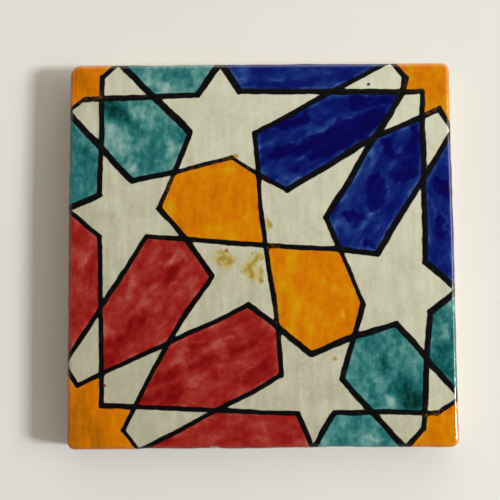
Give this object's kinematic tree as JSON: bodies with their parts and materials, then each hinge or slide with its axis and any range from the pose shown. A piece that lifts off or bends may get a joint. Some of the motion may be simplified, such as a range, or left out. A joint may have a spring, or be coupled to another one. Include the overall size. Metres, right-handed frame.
{
  "type": "hand-painted ceramic tile",
  "caption": "Square glazed earthenware wall tile with rounded edges, its face hand-painted with corner star rosettes in black outline; flat bare back for bedding.",
  "frame": {"origin": "middle of the flat back", "axes": "+Z out of the glazed face, X and Y along the sides; the blue rosette's corner is at +X +Y and the red one's at -X -Y"},
  "size_m": [0.0998, 0.0998, 0.01],
  "materials": {
    "painted_glaze": "glossy cream glaze, hand-painted in cobalt blue, red, turquoise green and orange with black outlines, over bare buff biscuit on the sides and back"
  },
  "bodies": {
    "root": {"tile": "painted_glaze"}
  },
  "joints": []
}
